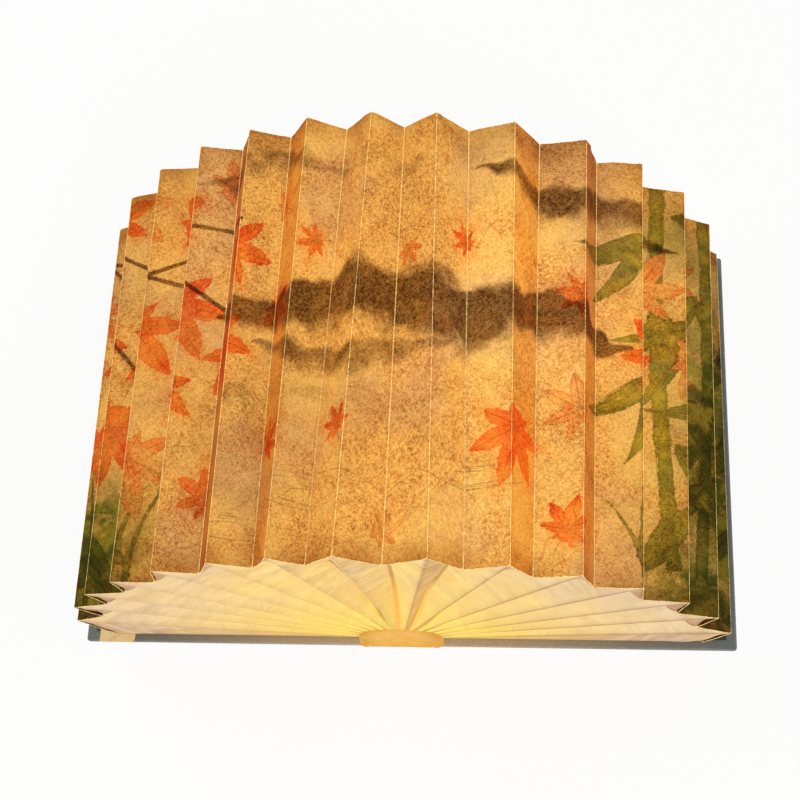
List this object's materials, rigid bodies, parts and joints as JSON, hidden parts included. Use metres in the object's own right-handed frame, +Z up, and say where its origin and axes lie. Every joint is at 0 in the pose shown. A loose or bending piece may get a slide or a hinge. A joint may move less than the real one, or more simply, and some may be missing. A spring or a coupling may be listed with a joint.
{
  "type": "folding book lamp",
  "caption": "Lamp shaped like a book: hard covers open flat round a lit paper shell of folded pages over a slim light core on the spine.",
  "frame": {"origin": "on the resting face, under the middle of the spine", "axes": "+X to the right over the open covers, +Y along the spine away from the viewer, +Z up"},
  "size_m": [0.336, 0.216, 0.1692],
  "materials": {
    "printed_paper": "matte fibrous paper, printed, lit from inside",
    "cream_paper": "matte cream paper, lit from inside",
    "leatherette": "fine-grained grey leatherette",
    "grey_board": "plain grey board",
    "black_paper": "matte black endpaper",
    "amber_film": "translucent amber film, lit from inside",
    "white_tape": "foam tape",
    "white_plastic": "satin white moulding",
    "milky_plastic": "milky diffuser",
    "light_board": "white solder mask",
    "lamp_phosphor": "yellow phosphor in a clear lens",
    "battery_foil": "satin foil pouch",
    "circuit_board": "green solder mask",
    "bright_metal": "nickel plated",
    "sensor_black": "moulded black resin",
    "lead_cover": "soft plastic cover"
  },
  "bodies": {
    "spine": {"spine_board": "grey_board", "spine_wrap": "leatherette", "left_fold_strip": "leatherette", "right_fold_strip": "leatherette", "core_tape": "white_tape", "core_housing": "white_plastic", "front_end_cap": "white_plastic", "rear_end_cap": "white_plastic", "diffuser_strip": "milky_plastic", "led_board": "light_board", "led_chips": "lamp_phosphor", "battery": "battery_foil", "control_board": "circuit_board", "charge_socket": "bright_metal", "opening_sensor": "sensor_black", "leads": "lead_cover"},
    "left_cover": {"left_board": "grey_board", "left_wrap": "leatherette", "left_endpaper": "black_paper", "left_glue_margin": "cream_paper", "left_closing_magnets": "bright_metal", "switch_magnet": "bright_metal"},
    "right_cover": {"right_board": "grey_board", "right_wrap": "leatherette", "right_endpaper": "black_paper", "right_glue_margin": "cream_paper", "right_closing_magnets": "bright_metal"},
    "light_tunnel": {"light_tunnel_left": "amber_film", "light_tunnel_right": "amber_film", "page_skin_08": "printed_paper", "page_webs_08": "cream_paper"},
    "page_01": {"page_skin_01": "printed_paper", "page_webs_01": "cream_paper"},
    "page_02": {"page_skin_02": "printed_paper", "page_webs_02": "cream_paper"},
    "page_03": {"page_skin_03": "printed_paper", "page_webs_03": "cream_paper"},
    "page_04": {"page_skin_04": "printed_paper", "page_webs_04": "cream_paper"},
    "page_05": {"page_skin_05": "printed_paper", "page_webs_05": "cream_paper"},
    "page_06": {"page_skin_06": "printed_paper", "page_webs_06": "cream_paper"},
    "page_07": {"page_skin_07": "printed_paper", "page_webs_07": "cream_paper"},
    "page_09": {"page_skin_09": "printed_paper", "page_webs_09": "cream_paper"},
    "page_10": {"page_skin_10": "printed_paper", "page_webs_10": "cream_paper"},
    "page_11": {"page_skin_11": "printed_paper", "page_webs_11": "cream_paper"},
    "page_12": {"page_skin_12": "printed_paper", "page_webs_12": "cream_paper"},
    "page_13": {"page_skin_13": "printed_paper", "page_webs_13": "cream_paper"},
    "page_14": {"page_skin_14": "printed_paper", "page_webs_14": "cream_paper"},
    "page_15": {"page_skin_15": "printed_paper", "page_webs_15": "cream_paper"}
  },
  "joints": [
    {"name": "left_cover_fold", "type": "hinge", "parent": "spine", "child": "left_cover", "pos_m": [-0.0108, 0, 0.0015], "axis": [0, 1, 0], "range_deg": [0, 90], "deforming": ["left_fold_strip"]},
    {"name": "right_cover_fold", "type": "hinge", "parent": "spine", "child": "right_cover", "pos_m": [0.0108, 0, 0.0015], "axis": [0, -1, 0], "range_deg": [0, 90], "deforming": ["right_fold_strip"]},
    {"name": "tunnel_sink", "type": "slide", "parent": "spine", "child": "light_tunnel", "axis": [0, 0, -1], "range_m": [0, 0.011], "deforming": ["light_tunnel_left", "light_tunnel_right", "page_skin_08", "page_webs_08"]},
    {"name": "page_01_turn", "type": "hinge", "parent": "light_tunnel", "child": "page_01", "pos_m": [-0.0042, 0, 0.00886], "axis": [0, 1, 0], "range_deg": [0, 84], "deforming": ["page_skin_01", "page_webs_01"]},
    {"name": "page_02_turn", "type": "hinge", "parent": "light_tunnel", "child": "page_02", "pos_m": [-0.0036, 0, 0.00915], "axis": [0, 1, 0], "range_deg": [0, 72], "deforming": ["page_skin_02", "page_webs_02"]},
    {"name": "page_03_turn", "type": "hinge", "parent": "light_tunnel", "child": "page_03", "pos_m": [-0.003, 0, 0.0094], "axis": [0, 1, 0], "range_deg": [0, 60], "deforming": ["page_skin_03", "page_webs_03"]},
    {"name": "page_04_turn", "type": "hinge", "parent": "light_tunnel", "child": "page_04", "pos_m": [-0.0024, 0, 0.00959], "axis": [0, 1, 0], "range_deg": [0, 48], "deforming": ["page_skin_04", "page_webs_04"]},
    {"name": "page_05_turn", "type": "hinge", "parent": "light_tunnel", "child": "page_05", "pos_m": [-0.0018, 0, 0.00974], "axis": [0, 1, 0], "range_deg": [0, 36], "deforming": ["page_skin_05", "page_webs_05"]},
    {"name": "page_06_turn", "type": "hinge", "parent": "light_tunnel", "child": "page_06", "pos_m": [-0.0012, 0, 0.00985], "axis": [0, 1, 0], "range_deg": [0, 24], "deforming": ["page_skin_06", "page_webs_06"]},
    {"name": "page_07_turn", "type": "hinge", "parent": "light_tunnel", "child": "page_07", "pos_m": [-0.0006, 0, 0.00991], "axis": [0, 1, 0], "range_deg": [0, 12], "deforming": ["page_skin_07", "page_webs_07"]},
    {"name": "page_09_turn", "type": "hinge", "parent": "light_tunnel", "child": "page_09", "pos_m": [0.0006, 0, 0.00991], "axis": [0, -1, 0], "range_deg": [0, 12], "deforming": ["page_skin_09", "page_webs_09"]},
    {"name": "page_10_turn", "type": "hinge", "parent": "light_tunnel", "child": "page_10", "pos_m": [0.0012, 0, 0.00985], "axis": [0, -1, 0], "range_deg": [0, 24], "deforming": ["page_skin_10", "page_webs_10"]},
    {"name": "page_11_turn", "type": "hinge", "parent": "light_tunnel", "child": "page_11", "pos_m": [0.0018, 0, 0.00974], "axis": [0, -1, 0], "range_deg": [0, 36], "deforming": ["page_skin_11", "page_webs_11"]},
    {"name": "page_12_turn", "type": "hinge", "parent": "light_tunnel", "child": "page_12", "pos_m": [0.0024, 0, 0.00959], "axis": [0, -1, 0], "range_deg": [0, 48], "deforming": ["page_skin_12", "page_webs_12"]},
    {"name": "page_13_turn", "type": "hinge", "parent": "light_tunnel", "child": "page_13", "pos_m": [0.003, 0, 0.0094], "axis": [0, -1, 0], "range_deg": [0, 60], "deforming": ["page_skin_13", "page_webs_13"]},
    {"name": "page_14_turn", "type": "hinge", "parent": "light_tunnel", "child": "page_14", "pos_m": [0.0036, 0, 0.00915], "axis": [0, -1, 0], "range_deg": [0, 72], "deforming": ["page_skin_14", "page_webs_14"]},
    {"name": "page_15_turn", "type": "hinge", "parent": "light_tunnel", "child": "page_15", "pos_m": [0.0042, 0, 0.00886], "axis": [0, -1, 0], "range_deg": [0, 84], "deforming": ["page_skin_15", "page_webs_15"]}
  ],
  "couplings": [
    {"joint": "right_cover_fold", "follows": "left_cover_fold", "ratio": 1},
    {"joint": "tunnel_sink", "follows": "left_cover_fold", "m_per_rad": 0.007},
    {"joint": "page_01_turn", "follows": "left_cover_fold", "ratio": 0.93333},
    {"joint": "page_02_turn", "follows": "left_cover_fold", "ratio": 0.8},
    {"joint": "page_03_turn", "follows": "left_cover_fold", "ratio": 0.66667},
    {"joint": "page_04_turn", "follows": "left_cover_fold", "ratio": 0.53333},
    {"joint": "page_05_turn", "follows": "left_cover_fold", "ratio": 0.4},
    {"joint": "page_06_turn", "follows": "left_cover_fold", "ratio": 0.26667},
    {"joint": "page_07_turn", "follows": "left_cover_fold", "ratio": 0.13333},
    {"joint": "page_09_turn", "follows": "left_cover_fold", "ratio": 0.13333},
    {"joint": "page_10_turn", "follows": "left_cover_fold", "ratio": 0.26667},
    {"joint": "page_11_turn", "follows": "left_cover_fold", "ratio": 0.4},
    {"joint": "page_12_turn", "follows": "left_cover_fold", "ratio": 0.53333},
    {"joint": "page_13_turn", "follows": "left_cover_fold", "ratio": 0.66667},
    {"joint": "page_14_turn", "follows": "left_cover_fold", "ratio": 0.8},
    {"joint": "page_15_turn", "follows": "left_cover_fold", "ratio": 0.93333}
  ]
}
